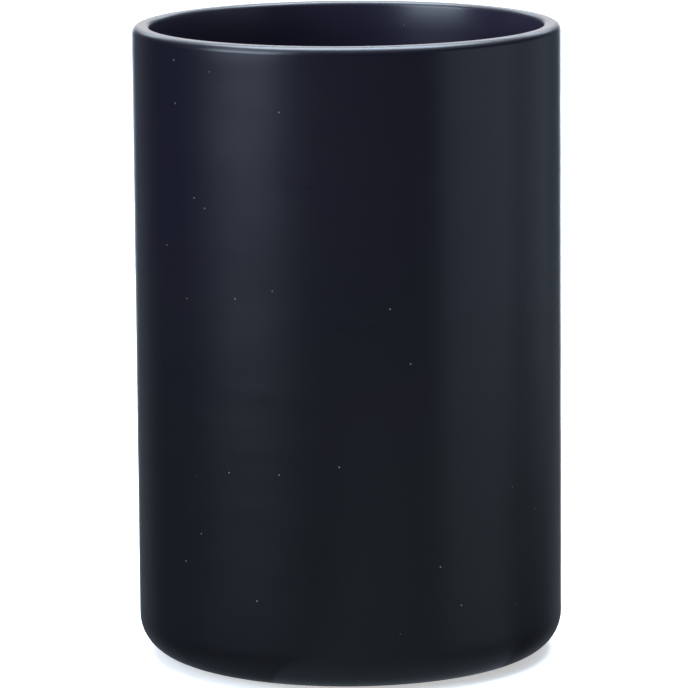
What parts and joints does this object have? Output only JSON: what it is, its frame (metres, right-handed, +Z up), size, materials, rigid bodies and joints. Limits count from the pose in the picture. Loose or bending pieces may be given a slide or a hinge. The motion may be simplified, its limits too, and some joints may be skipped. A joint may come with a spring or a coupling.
{
  "type": "candle jar",
  "caption": "Empty straight-sided round stoneware jar with a rounded lip, rounded foot corner and narrow foot ring, glazed satin blue-black inside and out.",
  "frame": {"origin": "on the jar's axis, in the plane that the foot ring stands on", "axes": "+Z up along the jar's axis, out of its mouth; X and Y are alike, because the jar is round"},
  "size_m": [0.08, 0.08, 0.119],
  "materials": {
    "bare_stoneware": "matte",
    "satin_glaze": "satin"
  },
  "bodies": {
    "root": {"stoneware_body": "bare_stoneware", "glaze_coat": "satin_glaze", "recess_glaze": "satin_glaze"}
  },
  "joints": []
}
